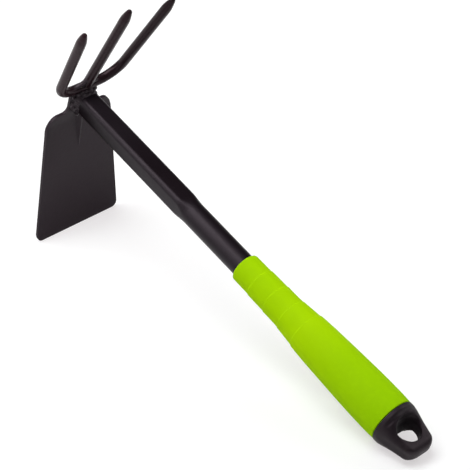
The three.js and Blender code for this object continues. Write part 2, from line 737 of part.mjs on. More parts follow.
function endCap() {
  const start = gripEnd + GAP;
  const plug = capPlug(start + PLUG_ROOT);
  return toGeometry(capBody(start).subtract(eyeCutter(start)).add(plug));
}

// Assembly

function piece(name, geometry, finish) {
  const facets = geometry.toNonIndexed();
  facets.computeVertexNormals();
  const mesh = new THREE.Mesh(facets, new THREE.MeshStandardMaterial(finish));
  mesh.name = name;
  return mesh;
}

const tool = new THREE.Group();
tool.add(
  piece('hoe_blade', hoeBlade(), BLACK_COAT),
  piece('outer_tines', outerTines(), BLACK_COAT),
  piece('middle_tine', middleTine(), BLACK_COAT),
  piece('handle_tube', handleTube(), BLACK_COAT),
  piece('tube_weld', tubeWeld(), WELD_COAT),
  piece('fork_weld', forkWeld(), WELD_COAT),
  piece('tine_weld_left', tineWeld(-1), WELD_COAT),
  piece('tine_weld_right', tineWeld(1), WELD_COAT),
  piece('grip_core', gripCore(), CORE_PLASTIC),
  piece('grip_sleeve', gripSleeve(), GREEN_RUBBER),
  piece('end_cap', endCap(), CAP_PLASTIC),
);

// The tool stands on the blade's edge and the rear corner of the cap's collar.
const collarX = gripEnd + GAP + COLLAR_LENGTH;
tool.rotation.y = Math.atan2(EDGE_DROP - COLLAR_RADIUS, collarX - bladeX(EDGE_DROP));

const doubleHoe = new THREE.Group();
doubleHoe.add(tool);
doubleHoe.updateMatrixWorld(true);
const reach = new THREE.Box3().setFromObject(doubleHoe, true);
tool.position.set(-(reach.min.x + reach.max.x) / 2, -(reach.min.y + reach.max.y) / 2, -reach.min.z);

export default doubleHoe;
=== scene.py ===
# Double hoe: the looks. Sizes are in millimetres in the tool's own frame, as in the part's
# source: +X along the shaft from the neck's face to the cap, +Y sideways and +Z towards the
# tines. TOOL_TO_ROW turns them into metres in the row's frame.
import math

import bmesh
import bpy
import numpy as np
from mathutils import Euler, Matrix, Vector, noise


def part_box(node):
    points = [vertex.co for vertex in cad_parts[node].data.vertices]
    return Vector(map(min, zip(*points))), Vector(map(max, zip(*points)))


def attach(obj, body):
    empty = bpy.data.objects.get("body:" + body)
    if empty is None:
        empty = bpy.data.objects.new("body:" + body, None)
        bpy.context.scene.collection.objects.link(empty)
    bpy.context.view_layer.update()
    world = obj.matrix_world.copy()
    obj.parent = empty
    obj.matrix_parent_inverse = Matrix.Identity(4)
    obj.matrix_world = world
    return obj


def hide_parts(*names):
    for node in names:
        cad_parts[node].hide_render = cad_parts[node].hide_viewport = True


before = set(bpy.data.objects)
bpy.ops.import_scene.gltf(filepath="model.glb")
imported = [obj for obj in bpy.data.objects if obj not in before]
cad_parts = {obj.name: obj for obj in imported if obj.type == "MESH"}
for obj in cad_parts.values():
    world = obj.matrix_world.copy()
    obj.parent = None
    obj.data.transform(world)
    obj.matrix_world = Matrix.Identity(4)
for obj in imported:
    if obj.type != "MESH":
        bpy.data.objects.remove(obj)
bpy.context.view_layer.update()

MM = 0.001
# Space between neighbouring pieces
GAP = 0.3

# Hoe blade. A drop is measured down from the shaft's axis.
SHEET = 2.5
EDGE_WIDTH = 80.5
SHOULDER_WIDTH = 59.5
SHOULDER_DROP = 9.7
EDGE_DROP = 123
SHOULDER_ROUND_WIDTH = 10
SHOULDER_ROUND_HEIGHT = 16.5
EDGE_CORNER_RADIUS = 5
NECK_WIDTH = 24.2
NECK_FILLET = 5
BEND_DROP = 18.4
BEND_SOFTNESS = 2.5
BLADE_LEAN = math.radians(12)
BEVEL_LENGTH = 6
BEVEL_DROP = EDGE_DROP - BEVEL_LENGTH
EDGE_LAND = 0.8
RIM_ANGLE = math.radians(50)
RIM_ROUND = 0.45
DART_START_DROP = 10
DART_FULL_DROP = 15
DART_END_DROP = 46
DART_HALF_WIDTH = 3.8
DART_END_WIDTH_SHARE = 0.12
DART_HEIGHT = 3.4
DART_FALL_POWER = 0.8
DART_RIDGE_POWER = 1.6
# Where the sheet is cut into faces: closely over the dart, coarsely elsewhere
BLADE_ROWS = ([10.4 + 1.2 * i for i in range(32)] + [50 + 6 * i for i in range(11)]
              + [BEVEL_DROP])
BLADE_COLUMNS = ([0.5 * i for i in range(-9, 10)]
                 + [side * (8 + 6 * i) for i in range(5) for side in (-1, 1)])
# Painted shade on the blade: its shine falls from this drop to the edge
BLADE_SHADE = 0.5
BLADE_SHADE_FROM_DROP = 55

# Fork
BAR_RADIUS = 3.8
CROSS_RISE = 14.7
CROSS_SET = 1.1
CROSS_HALF_SPAN = 27.2
BAR_BEND_RADIUS = 19.8
BAR_BEND_STEPS = 24
OUTER_LENGTH = 98
OUTER_SPLAY = 13.3
OUTER_LEAN = math.radians(17.3)
MIDDLE_LENGTH = 102.4
MIDDLE_LEAN = math.radians(15.9)
MIDDLE_FOOT_SHARE = 0.6
POINT_LENGTH = 13
POINT_STEPS = 24
# The point's radius along its length, both as shares
POINT_SHARES = [(0, 1), (0.25, 0.95), (0.6, 0.76), (0.88, 0.55), (0.97, 0.44), (1, 0.26)]
TIP_LENGTH = 0.6
TIP_FLATNESS = 0.7
TIP_TURNS = (0.35, 0.7, 1.05, 1.35)
LEFT_TINE_EXTRA = 1.2
# Painted shade on the left tine, over this span, and on the middle tine
LEFT_TINE_SHADE = 0.4
LEFT_TINE_SHADE_SPAN = (10, 24)
MIDDLE_TINE_SHADE = 0.18

# Shaft tube
TUBE_RADIUS = 9.2
TUBE_WALL = 1.5
PRESSED_WIDTH = 17
PRESSED_HEIGHT = 16.8
PRESSED_CORNER = 4.2
PRESSED_END = 121
ROUND_START = 134
# Painted shade on its coat: less shine and a darker colour beside the head, on the pressed part's
# flat top and on the round part's top.
HEAD_SHADE = 0.7
HEAD_SHADE_TOP = 5
HEAD_SHADE_FADE = 3
HEAD_SHADE_SPAN = (10, 105)
TOP_SHADE = 0.6
FLAT_TOP_HEIGHTS = (7.9, 8.35)
FLAT_TOP_SPAN = (10, 100)
ROUND_TOP_SPAN = (-2.2, 1.5)

# Weld round the tube's end
WELD_LEG = 3.1
WELD_LAND = 0.3
WELD_RUN = 6.8
WELD_STEPS = 12
WELD_CURVE_POWER = 1.4
WELD_SEAT_SHARE = 0.4
# On the right the bead stands out this share as far as it would.
WELD_RIGHT_SHARE = 0.4
# Lumps where the electrode rested: place and size
WELD_LUMPS = [
    (3.6, 5.4, 10.9, 2.7), (3.4, 1.8, 11.2, 2.7), (2.8, 7.4, 10.8, 2.2), (2.8, -2.6, 11.4, 2.4),
    (2.4, -7.2, 10.8, 2.3), (2.6, -10.6, 7.0, 1.7), (3.2, -10.4, -2.6, 1.9), (3.0, 10.4, 4.0, 1.9),
    (2.8, -6.0, -10.8, 1.8), (3.2, 3.0, -10.6, 1.9), (1.6, 8.6, 10.4, 2.3),
]
WELD_LUMP_SHAPE = (1, 1.1, 0.8)
WELD_WAVE_SCALE = 0.33
WELD_WAVE_HEIGHT = 0.75
WELD_WAVE_OFFSET = (5, 2, 0)
WELD_RIPPLE_SCALE = 0.75
WELD_RIPPLE_HEIGHT = 0.45
WELD_CALM = 0.7
WELD_CALM_HEIGHTS = (4, 9)
WELD_PIT = (2.4, -11.2, 2.8)
WELD_PIT_RADIUS = 1.3
WELD_PIT_DEPTH = 1.6

# Weld on the head's front
FORK_WELD_HALF_SPAN = 10.4
FORK_WELD_DROPS = 22
FORK_WELD_SIZE = (1.5, 1.4, 1.9)
FORK_WELD_SET = 0.4
FORK_WELD_RISE = 0.3
FORK_WELD_SWELL = 0.16
FORK_WELD_SWELL_TURN = 2.1

# Welds beside the middle tine's foot
TINE_WELD_ROWS = 15
TINE_WELD_START_SHARE = 0.35
TINE_WELD_TOP_SHARE = 0.7
TINE_WELD_CURVE_POWER = 2.2
TINE_WELD_FOOT = 1
TINE_WELD_SPACING = 1.2
TINE_WELD_DROP = 1.5
TINE_WELD_DEPTH = 1.75
TINE_WELD_DEPTH_MORE = 0.35
TINE_WELD_ROUGHNESS = 0.12
TINE_WELD_ROUGHNESS_SCALE = 0.7
TINE_WELD_SEED_STEP = 7

# Drops of weld metal
DROP_ROUGHNESS = 0.12
DROP_ROUGHNESS_SCALE = 1.7
DROP_SEED_SHARE = 0.7
WELD_VOXEL = 0.4
WELD_SMOOTHING = 4
TINE_WELD_VOXEL = 0.42
TINE_WELD_SMOOTHING = 8

# Grip
GRIP_START = 191.5
GRIP_LENGTH = 156
PALM_RADIUS = 18
SLEEVE_WALL = 2.6
LIP_ROUND = 1.6
LIP_STEPS = 8
# The front's inner edge: distance from the grip's start, and space to the tube
FRONT_EDGE = [(SLEEVE_WALL, GAP), (0.5, GAP * 0.8), (0, 0.6)]
# Ring steps, at these shares of the length, and the mesh's cuts round each
RING_STEP = 0.35
RING_RISE = 0.6
RING_SHARES = [0.115, 0.223, 0.329, 0.435]
RING_CUTS = (-0.7, -0.5, -0.3, -0.1, 0.1, 0.4)
# The radius along the grip, as shares of its length and of the palm's radius
GRIP_SHARES = [
    (0, 0.645), (0.033, 0.648), (0.115, 0.654), (0.17, 0.67), (0.223, 0.683),
    (0.28, 0.691), (0.315, 0.706), (0.345, 0.732), (0.38, 0.764), (0.42, 0.801),
    (0.45, 0.84), (0.47, 0.858), (0.516, 0.893), (0.58, 0.916), (0.66, 0.944),
    (0.75, 0.972), (0.84, 0.994), (0.91, 1), (0.96, 1), (1, 0.98),
]
GRIP_PROFILE = [(place * GRIP_LENGTH, size * PALM_RADIUS) for place, size in GRIP_SHARES]
GRIP_SOFTENING = (-3, -1.5, 0, 1.5, 3)
GRIP_CUT_SPACING = 1.6
GRIP_SIDES = 112
GRIP_END = GRIP_START + GRIP_LENGTH
# The rounded rear edge: distance from the grip's end, and how far the radius has fallen
REAR_EDGE = [(0.8, 0), (0.45, 0.06), (0.2, 0.2), (0, 0.5)]
REAR_POCKET = 6
# Painted light along the grip: how much paler the rubber is painted, most in the middle, where
# more light falls, and none at the end
PAINTED_GRIP_LIGHT = [(0, 0.6), (0.35, 0.9), (0.45, 1), (0.7, 0.4), (1, 0)]
TUBE_SHORT_OF_GRIP_END = 17.5
TUBE_END = GRIP_END - TUBE_SHORT_OF_GRIP_END

# End cap
CAP_START = GRIP_END + GAP
CAP_LENGTH = 31
COLLAR_RADIUS = 17.8
COLLAR_LENGTH = 3
CAP_END_HALF_WIDTH = 11.2
CAP_END_HALF_HEIGHT = 6.2
CAP_END_ROUND = 6
CAP_END_ROUND_SHARE = 0.85
CAP_HEIGHT_FALL = 7.5
CAP_HEIGHT_POWER = 1.3
CAP_SECTION_CORNER = 3.2
CAP_CORNER_FALL = 6.6
CAP_CORNER_POWER = 1.2
CAP_CORNER = 6.4
CAP_VOXEL = 0.3
CAP_SMOOTHING = 6
# The eye as it is seen: the height of each section, with its reach from the eye's centre in
# six directions, which are in degrees from the cap's end. In between, the reach is blended.
EYE_FROM_END = 15.7
EYE_X = CAP_START + CAP_LENGTH - EYE_FROM_END
EYE_SIDES = 96
EYE_DIRECTIONS = (0, 60, 90, 120, 150, 180)
EYE_BLEND_ANGLES = np.linspace(-15, 15, 7)
EYE_REACH_BELOW = (12, 12.5, 13, 13.5, 13, 12)
EYE_REACH_ABOVE = (8.4, 9.2, 11, 11, 10, 9.2)
EYE_SECTIONS = [
    (-22, EYE_REACH_BELOW),
    (-8, EYE_REACH_BELOW),
    (-2.4, (7.5, 8.1, 8.2, 8.5, 6.6, 5.2)),
    (5, (7.9, 8.3, 8.8, 9.6, 9, 8.2)),
    (8, (8.2, 9, 10.6, 10.9, 9.8, 8.8)),
    (11, EYE_REACH_ABOVE),
    (22, EYE_REACH_ABOVE),
]
# The scoop in front of the eye is smoothed more than the rest.
SCOOP_RISE = 5.3
SCOOP_START = CAP_START + 7
SCOOP_END = EYE_X + 3
SCOOP_SMOOTHING = 14
GROOVE_PLACE = 5.2
GROOVE_HALF_WIDTH = 1.3
GROOVE_DEPTH = 0.8
GROOVE_RADIUS_SHARE = 0.7
GROOVE_TURN = (0.45, 0.8)
# Painted shade: the eye's walls lose shine from a set height down. The rest of the cap has a
# little painted shade up to its end, where the shine is left full, and more below.
EYE_SHADE = 0.85
EYE_SHADE_TOP = 12
EYE_SHADE_FALL = 9
EYE_WALL_REACH = 13
EYE_WALL_FACING = (0.35, 0.8)
CAP_SHADE = 0.28
CAP_SHADE_END = (CAP_LENGTH - 8, CAP_LENGTH - 2)
CAP_SHADE_BELOW = 0.2
CAP_SHADE_BELOW_TOP = 3
CAP_SHADE_BELOW_FALL = 5


def blade_x(drop):
    past = drop - BEND_DROP
    soft = (past + math.sqrt(past * past + BEND_SOFTNESS ** 2)) / 2
    return soft * math.tan(BLADE_LEAN)


# The tool lies on the blade's edge and the cap's collar.
EDGE_X = (EDGE_DROP - BEND_DROP) * math.tan(BLADE_LEAN)
TILT = math.atan2(EDGE_DROP - COLLAR_RADIUS, CAP_START + COLLAR_LENGTH - EDGE_X)
FOREMOST_X = (BEVEL_DROP - BEND_DROP) * math.tan(BLADE_LEAN) - SHEET / math.cos(BLADE_LEAN)
ORIGIN_X = (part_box("hoe_blade")[0].x
            - (FOREMOST_X * math.cos(TILT) - BEVEL_DROP * math.sin(TILT)) * MM)
ORIGIN_Z = (EDGE_X * math.sin(TILT) + EDGE_DROP * math.cos(TILT)) * MM
TOOL_TO_ROW = (Matrix.Translation((ORIGIN_X, 0, ORIGIN_Z))
               @ Matrix.Rotation(TILT, 4, "Y") @ Matrix.Scale(MM, 4))


# Mesh helpers

def smoothstep(value, low, high):
    share = min(1, max(0, (value - low) / (high - low)))
    return share * share * (3 - 2 * share)


def profile_at(profile, place):
    places, sizes = zip(*profile)
    return float(np.interp(place, places, sizes))


def linked_object(name, bm):
    mesh = bpy.data.meshes.new(name)
    bm.to_mesh(mesh)
    bm.free()
    made = bpy.data.objects.new(name, mesh)
    bpy.context.scene.collection.objects.link(made)
    return made


def finish_mesh(name, bm, material, replaced, crease_angle=35):
    bmesh.ops.recalc_face_normals(bm, faces=bm.faces)
    for face in bm.faces:
        face.smooth = True
    limit = math.radians(crease_angle)
    for edge in bm.edges:
        if len(edge.link_faces) == 2:
            edge.smooth = edge.calc_face_angle(0) < limit
    piece = linked_object(name, bm)
    piece.data.transform(TOOL_TO_ROW)
    piece.data.materials.append(material)
    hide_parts(*replaced)
    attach(piece, "root")
    return piece


# Every vertex gets a share: one layer paints shade, which takes shine away and shifts the colour;
# the other paints light, which makes the rubber paler.
def give_share(bm, layer_name, share_at):
    layer = bm.verts.layers.float.new(layer_name)
    for vert in bm.verts:
        vert[layer] = share_at(vert)


def bridge(bm, low, high):
    for i in range(len(low)):
        j = (i + 1) % len(low)
        bm.faces.new((low[i], low[j], high[j], high[i]))


def loft_into(bm, rings, close_ends=True):
    rows = [[bm.verts.new(point) for point in ring] for ring in rings]
    for low, high in zip(rows, rows[1:]):
        bridge(bm, low, high)
    if close_ends:
        bm.faces.new(list(reversed(rows[0])))
        bm.faces.new(rows[-1])
    return rows


def work_object(name, bm):
    bmesh.ops.recalc_face_normals(bm, faces=bm.faces)
    return linked_object(name, bm)


# A closed mesh is rebuilt with even small faces and then smoothed, which rounds its edges.
def remeshed(work, voxel, smoothing):
    even = work.modifiers.new("even", "REMESH")
    even.mode = "VOXEL"
    even.voxel_size = voxel
    soft = work.modifiers.new("soft", "SMOOTH")
    soft.factor = 0.5
    soft.iterations = smoothing
    graph = bpy.context.evaluated_depsgraph_get()
    result = bmesh.new()
    result.from_mesh(bpy.data.meshes.new_from_object(work.evaluated_get(graph)))
    bpy.data.objects.remove(work)
    return result


def rounded_section(x, half_width, half_height, corner, steps):
    ring = []
    for quarter in range(4):
        y = (1 if quarter in (0, 3) else -1) * (half_width - corner)
        z = (1 if quarter < 2 else -1) * (half_height - corner)
        for step in range(steps + 1):
            angle = (quarter + step / steps) * math.pi / 2
            ring.append((x, y + corner * math.cos(angle), z + corner * math.sin(angle)))
    return ring


def turned_ring(x, radius, sides):
    return [(x, radius * math.cos(2 * math.pi * i / sides),
             radius * math.sin(2 * math.pi * i / sides)) for i in range(sides)]


# Materials. Noise scales are per metre, and bump distances are in metres.

MOTTLE = (0.35, 0.7)
# Where shade is painted, the shine falls to this share
SHADED_SHINE_SHARE = 0.1
# The rubber's green, and a paler green where light is painted
PLAIN_GREEN = ((0.265, 0.53, 0.0005), (0.285, 0.555, 0.001))
PAINTED_LIT_GREEN = ((0.35, 0.605, 0.0005), (0.375, 0.635, 0.001))
SPECK_GREEN = (0.37, 0.64, 0.002)
RUBBER_SHINE = 0.02


class Nodes:
    def __init__(self, name):
        self.material = bpy.data.materials.new(name)
        self.material.use_nodes = True
        self.tree = self.material.node_tree
        self.shader = self.tree.nodes["Principled BSDF"]
        self.place = self.add("ShaderNodeTexCoord").outputs["Object"]

    def add(self, kind, inputs=None, **settings):
        node = self.tree.nodes.new(kind)
        for key, value in settings.items():
            setattr(node, key, value)
        for key, value in (inputs or {}).items():
            if isinstance(value, bpy.types.NodeSocket):
                self.tree.links.new(value, node.inputs[key])
            else:
                node.inputs[key].default_value = value
        return node

    def noise(self, scale, detail, roughness):
        return self.add("ShaderNodeTexNoise", {
            "Vector": self.place, "Scale": scale, "Detail": detail,
            "Roughness": roughness}).outputs["Fac"]

    def share(self, layer_name):
        return self.add("ShaderNodeAttribute", attribute_name=layer_name).outputs["Fac"]

    def remap(self, value, low_high, to_low_high=(0, 1), **settings):
        return self.add("ShaderNodeMapRange", {
            "Value": value, "From Min": low_high[0], "From Max": low_high[1],
            "To Min": to_low_high[0], "To Max": to_low_high[1]}, **settings).outputs["Result"]

    def blend(self, factor, first, second):
        node = self.add("ShaderNodeMix", {"Factor": factor}, data_type="RGBA")
        for socket, value in ((node.inputs[6], first), (node.inputs[7], second)):
            if isinstance(value, bpy.types.NodeSocket):
                self.tree.links.new(value, socket)
            else:
                socket.default_value = (*value, 1)
        return node.outputs[2]

    def bump(self, height, distance, strength, normal=None):
        inputs = {"Height": height, "Distance": distance, "Strength": strength}
        if normal is not None:
            inputs["Normal"] = normal
        return self.add("ShaderNodeBump", inputs).outputs["Normal"]

    def connect(self, value, socket):
        self.tree.links.new(value, self.shader.inputs[socket])

    def shine(self, level, tint):
        # Painted shade takes shine away
        self.connect(self.remap(self.share("painted_shade"), (0, 1), (level, level * SHADED_SHINE_SHARE)),
                     "Specular IOR Level")
        self.shader.inputs["Specular Tint"].default_value = (*tint, 1)


def powder_coat(name, colour, light_colour, shade_colour, roughness, shine, shine_tint, peel):
    made = Nodes(name)
    broad = made.noise(scale=14, detail=3, roughness=0.6)
    speck = made.noise(scale=900, detail=2, roughness=0.6)
    tint = made.blend(made.remap(broad, MOTTLE), colour, light_colour)
    tint = made.blend(made.remap(speck, (0.62, 0.75), (0, 0.35)), tint, light_colour)
    # Painted shade: the colour moves towards the shaded colour
    made.connect(made.blend(made.share("painted_shade"), tint, shade_colour), "Base Color")
    made.connect(made.remap(broad, (0.3, 0.75), (roughness - 0.05, roughness + 0.07)),
                 "Roughness")
    made.shine(shine, shine_tint)
    grain = made.noise(scale=1400, detail=3, roughness=0.6)
    orange_peel = made.noise(scale=420, detail=2, roughness=0.5)
    normal = made.bump(grain, distance=0.00006, strength=0.5)
    made.connect(made.bump(orange_peel, peel, strength=0.6, normal=normal), "Normal")
    return made.material


def grip_rubber():
    made = Nodes("green_rubber")
    broad = made.noise(scale=22, detail=4, roughness=0.6)
    fine = made.noise(scale=260, detail=3, roughness=0.6)
    mottle = made.remap(broad, MOTTLE)
    # Painted light: the rubber is paler where the painted light is stronger
    tint = made.blend(made.share("painted_light"), made.blend(mottle, *PLAIN_GREEN),
                      made.blend(mottle, *PAINTED_LIT_GREEN))
    tint = made.blend(made.remap(fine, (0.5, 0.75), (0, 0.3)), tint, SPECK_GREEN)
    made.connect(tint, "Base Color")
    made.connect(made.remap(fine, (0.3, 0.7), (0.6, 0.75)), "Roughness")
    made.shader.inputs["Specular IOR Level"].default_value = RUBBER_SHINE
    grain = made.noise(scale=1500, detail=2, roughness=0.6)
    waves = made.noise(scale=90, detail=3, roughness=0.55)
    normal = made.bump(grain, distance=0.00008, strength=0.6)
    made.connect(made.bump(waves, distance=0.0004, strength=0.35, normal=normal), "Normal")
    return made.material


def moulded_plastic(name, colour, light_colour, roughness, shine, shine_tint):
    made = Nodes(name)
    broad = made.noise(scale=40, detail=3, roughness=0.6)
    fine = made.noise(scale=300, detail=3, roughness=0.6)
    grain = made.noise(scale=1100, detail=3, roughness=0.6)
    made.connect(made.blend(made.remap(broad, MOTTLE), colour, light_colour), "Base Color")
    made.connect(made.remap(fine, (0.3, 0.7), (roughness - 0.05, roughness + 0.06)),
                 "Roughness")
    made.connect(made.bump(grain, distance=0.00005, strength=0.6), "Normal")
    made.shine(shine, shine_tint)
    return made.material


BLADE_COAT = powder_coat(
    "black_steel_blade", colour=(0.013, 0.0065, 0.0105), light_colour=(0.017, 0.0095, 0.0145),
    shade_colour=(0.015, 0.008, 0.0125), roughness=0.5, shine=0.22, shine_tint=(1, 0.93, 0.97),
    peel=0.00012)
BAR_COAT = powder_coat(
    "black_steel_bar", colour=(0.010, 0.005, 0.0065), light_colour=(0.016, 0.009, 0.0115),
    shade_colour=(0.035, 0.012, 0.017), roughness=0.3, shine=0.18, shine_tint=(1, 0.74, 0.83),
    peel=0.0002)
TUBE_COAT = powder_coat(
    "black_steel_tube", colour=(0.007, 0.0045, 0.0065), light_colour=(0.011, 0.0075, 0.0105),
    shade_colour=(0.004, 0.0015, 0.0025), roughness=0.38, shine=0.2, shine_tint=(1, 0.87, 0.97),
    peel=0.00012)
WELD_COAT = powder_coat(
    "weld_metal", colour=(0.019, 0.014, 0.017), light_colour=(0.032, 0.024, 0.029),
    shade_colour=(0.02, 0.014, 0.017), roughness=0.36, shine=0.24, shine_tint=(1, 0.85, 0.93),
    peel=0.0002)
CAP_PLASTIC = moulded_plastic(
    "cap_plastic", colour=(0.007, 0.0045, 0.006), light_colour=(0.010, 0.007, 0.009),
    roughness=0.48, shine=0.37, shine_tint=(1, 0.83, 0.93))
CORE_PLASTIC = moulded_plastic(
    "core_plastic", colour=(0.012, 0.012, 0.013), light_colour=(0.016, 0.016, 0.017),
    roughness=0.6, shine=0.4, shine_tint=(1, 1, 1))
GRIP_RUBBER = grip_rubber()


# Hoe blade

def side_half_width(drop):
    share = (drop - SHOULDER_DROP) / (EDGE_DROP - SHOULDER_DROP)
    return SHOULDER_WIDTH / 2 + (EDGE_WIDTH - SHOULDER_WIDTH) / 2 * share


def neck_top():
    return CROSS_RISE - math.sqrt(BAR_RADIUS ** 2 - CROSS_SET ** 2) - GAP


def blade_outline():
    neck = NECK_WIDTH / 2
    shoulder_end = SHOULDER_DROP + SHOULDER_ROUND_HEIGHT
    flare = side_half_width(shoulder_end)
    corner_top = EDGE_DROP - EDGE_CORNER_RADIUS
    corner_side = side_half_width(corner_top)
    steps = 12
    half = [(neck, -neck_top())]
    arcs = [math.pi / 2 * step / steps for step in range(steps + 1)]
    half += [(neck + NECK_FILLET * (1 - math.cos(a)),
              SHOULDER_DROP - NECK_FILLET * (1 - math.sin(a))) for a in arcs]
    half += [(flare - SHOULDER_ROUND_WIDTH * (1 - math.sin(a)),
              shoulder_end - SHOULDER_ROUND_HEIGHT * math.cos(a)) for a in arcs]
    half += [(corner_side - EDGE_CORNER_RADIUS * (1 - math.cos(a)),
              corner_top + EDGE_CORNER_RADIUS * math.sin(a)) for a in arcs]
    return half + [(-y, drop) for y, drop in reversed(half)]


def dart_height(y, drop):
    if drop <= DART_START_DROP or drop >= DART_END_DROP:
        return 0
    along = (drop - DART_FULL_DROP) / (DART_END_DROP - DART_FULL_DROP)
    size = 1 - along if along > 0 else smoothstep(drop, DART_START_DROP, DART_FULL_DROP)
    size = max(size, 0)
    width_share = DART_END_WIDTH_SHARE + (1 - DART_END_WIDTH_SHARE) * size
    across = abs(y) / (DART_HALF_WIDTH * width_share)
    ridge = max(0, 1 - across ** DART_RIDGE_POWER)
    return DART_HEIGHT * size ** DART_FALL_POWER * ridge


def make_blade():
    bm = bmesh.new()
    outline = [bm.verts.new((0, y, -drop)) for y, drop in blade_outline()]
    bm.faces.new(outline)
    cuts = [((0, 0, -drop), (0, 0, 1)) for drop in BLADE_ROWS]
    cuts += [((0, y, 0), (0, 1, 0)) for y in BLADE_COLUMNS]
    for place, direction in cuts:
        everything = bm.verts[:] + bm.edges[:] + bm.faces[:]
        bmesh.ops.bisect_plane(bm, geom=everything, plane_co=place, plane_no=direction)
    rear = bm.verts[:]
    made = bmesh.ops.extrude_face_region(bm, geom=bm.faces[:])
    front = [item for item in made["geom"] if isinstance(item, bmesh.types.BMVert)]
    for vert in rear:
        drop = -vert.co.z
        vert.co.x = blade_x(drop) + dart_height(vert.co.y, drop)
    for vert in front:
        drop = -vert.co.z
        ground = min(1, max(0, (drop - EDGE_DROP + BEVEL_LENGTH) / BEVEL_LENGTH))
        across = SHEET / (math.cos(BLADE_LEAN) if drop > BEND_DROP else 1)
        thickness = across + (EDGE_LAND - SHEET) * ground
        vert.co.x = blade_x(drop) + dart_height(vert.co.y, drop) - thickness
    rim = [edge for edge in bm.edges
           if len(edge.link_faces) == 2 and edge.calc_face_angle(0) > RIM_ANGLE]
    bmesh.ops.bevel(bm, geom=rim, offset=RIM_ROUND, segments=3, profile=0.5, affect="EDGES",
                    clamp_overlap=True)
    # Painted shade: less shine towards the edge
    give_share(bm, "painted_shade", lambda vert: BLADE_SHADE * smoothstep(
        -vert.co.z, BLADE_SHADE_FROM_DROP, EDGE_DROP))
    return finish_mesh("blade_sheet", bm, BLADE_COAT, ["hoe_blade"], crease_angle=40)


# Fork. A station is a place across and up the fork, with the bar's direction and radius there.

def bar_rings(stations, lean, sides=40):
    up = Vector((math.sin(lean), 0, math.cos(lean)))
    side = Vector((0, 1, 0))
    normal = side.cross(up)
    foot = Vector((CROSS_SET, 0, CROSS_RISE))
    rings = []
    for y, h, angle, radius in stations:
        centre = foot + side * y + up * h
        across = -side * math.sin(angle) + up * math.cos(angle)
        ring = []
        for i in range(sides):
            turn = 2 * math.pi * i / sides
            ring.append(centre + across * radius * math.cos(turn)
                        + normal * radius * math.sin(turn))
        rings.append(ring)
    return rings


def point_radius(share):
    return BAR_RADIUS * profile_at(POINT_SHARES, share)


def point_sections(length):
    shares = [step / POINT_STEPS for step in range(POINT_STEPS + 1)]
    return [(length - POINT_LENGTH * (1 - share), point_radius(share)) for share in shares]


def rounded_tip(y, h, angle):
    tip = point_radius(1)
    out = []
    for turn in TIP_TURNS:
        along = tip * math.sin(turn) * TIP_FLATNESS
        out.append((y + along * math.cos(angle), h + along * math.sin(angle),
                    angle, tip * math.cos(turn)))
    return out


def make_outer_tines():
    out_angle = math.atan2(OUTER_LENGTH, OUTER_SPLAY)
    length = math.hypot(OUTER_LENGTH, OUTER_SPLAY) - TIP_LENGTH
    bend_y = CROSS_HALF_SPAN - BAR_BEND_RADIUS * math.tan(out_angle / 2)
    half = [(bend_y * step / 4, 0, 0, BAR_RADIUS) for step in range(1, 4)]
    for step in range(BAR_BEND_STEPS + 1):
        angle = out_angle * step / BAR_BEND_STEPS
        half.append((bend_y + BAR_BEND_RADIUS * math.sin(angle),
                     BAR_BEND_RADIUS * (1 - math.cos(angle)), angle, BAR_RADIUS))
    straight = np.linspace(BAR_BEND_RADIUS, length - POINT_LENGTH, 14)[1:-1]
    for along, radius in [(along, BAR_RADIUS) for along in straight] + point_sections(length):
        half.append((CROSS_HALF_SPAN + along * math.cos(out_angle),
                     along * math.sin(out_angle), out_angle, radius))
    half += rounded_tip(half[-1][0], half[-1][1], out_angle)
    mirrored = []
    for y, h, angle, radius in reversed(half):
        stretch = LEFT_TINE_EXTRA * max(0, h - BAR_BEND_RADIUS) / (OUTER_LENGTH - BAR_BEND_RADIUS)
        mirrored.append((-y - stretch * math.cos(out_angle), h + stretch * math.sin(out_angle),
                         -angle, radius))
    bm = bmesh.new()
    loft_into(bm, bar_rings(mirrored + [(0, 0, 0, BAR_RADIUS)] + half, OUTER_LEAN))
    # Painted shade on the left tine
    give_share(bm, "painted_shade", lambda vert: LEFT_TINE_SHADE * smoothstep(
        -vert.co.y, *LEFT_TINE_SHADE_SPAN))
    return finish_mesh("outer_tines_bar", bm, BAR_COAT, ["outer_tines"])


def make_middle_tine():
    upright = math.pi / 2
    length = MIDDLE_LENGTH - TIP_LENGTH
    stations = [(0, h, upright, BAR_RADIUS) for h in np.linspace(
        BAR_RADIUS * MIDDLE_FOOT_SHARE, length - POINT_LENGTH, 18)[:-1]]
    stations += [(0, h, upright, radius) for h, radius in point_sections(length)]
    stations += rounded_tip(0, length, upright)
    bm = bmesh.new()
    loft_into(bm, bar_rings(stations, MIDDLE_LEAN))
    # Painted shade on the middle tine
    give_share(bm, "painted_shade", lambda vert: MIDDLE_TINE_SHADE)
    return finish_mesh("middle_tine_bar", bm, BAR_COAT, ["middle_tine"])


# Shaft tube

def tube_section(x, inset):
    share = smoothstep(x, PRESSED_END, ROUND_START)

    def mix(low, high):
        return low + (high - low) * share - inset

    return rounded_section(x, mix(PRESSED_WIDTH / 2, TUBE_RADIUS),
                           mix(PRESSED_HEIGHT / 2, TUBE_RADIUS),
                           mix(PRESSED_CORNER, TUBE_RADIUS), steps=14)


# Painted shade on the tube: beside the head, and on the tops that face up
def tube_painted_shade(vert):
    x, y, z = vert.co
    pressed = 1 - smoothstep(x, PRESSED_END, ROUND_START)
    near_the_head = (HEAD_SHADE * smoothstep(HEAD_SHADE_TOP - z, 0, HEAD_SHADE_FADE)
                     * (1 - smoothstep(x, *HEAD_SHADE_SPAN)))
    flat_top = smoothstep(z, *FLAT_TOP_HEIGHTS) * smoothstep(x, *FLAT_TOP_SPAN)
    on_top = flat_top * pressed + smoothstep(y, *ROUND_TOP_SPAN) * (1 - pressed)
    return max(near_the_head, TOP_SHADE * on_top)


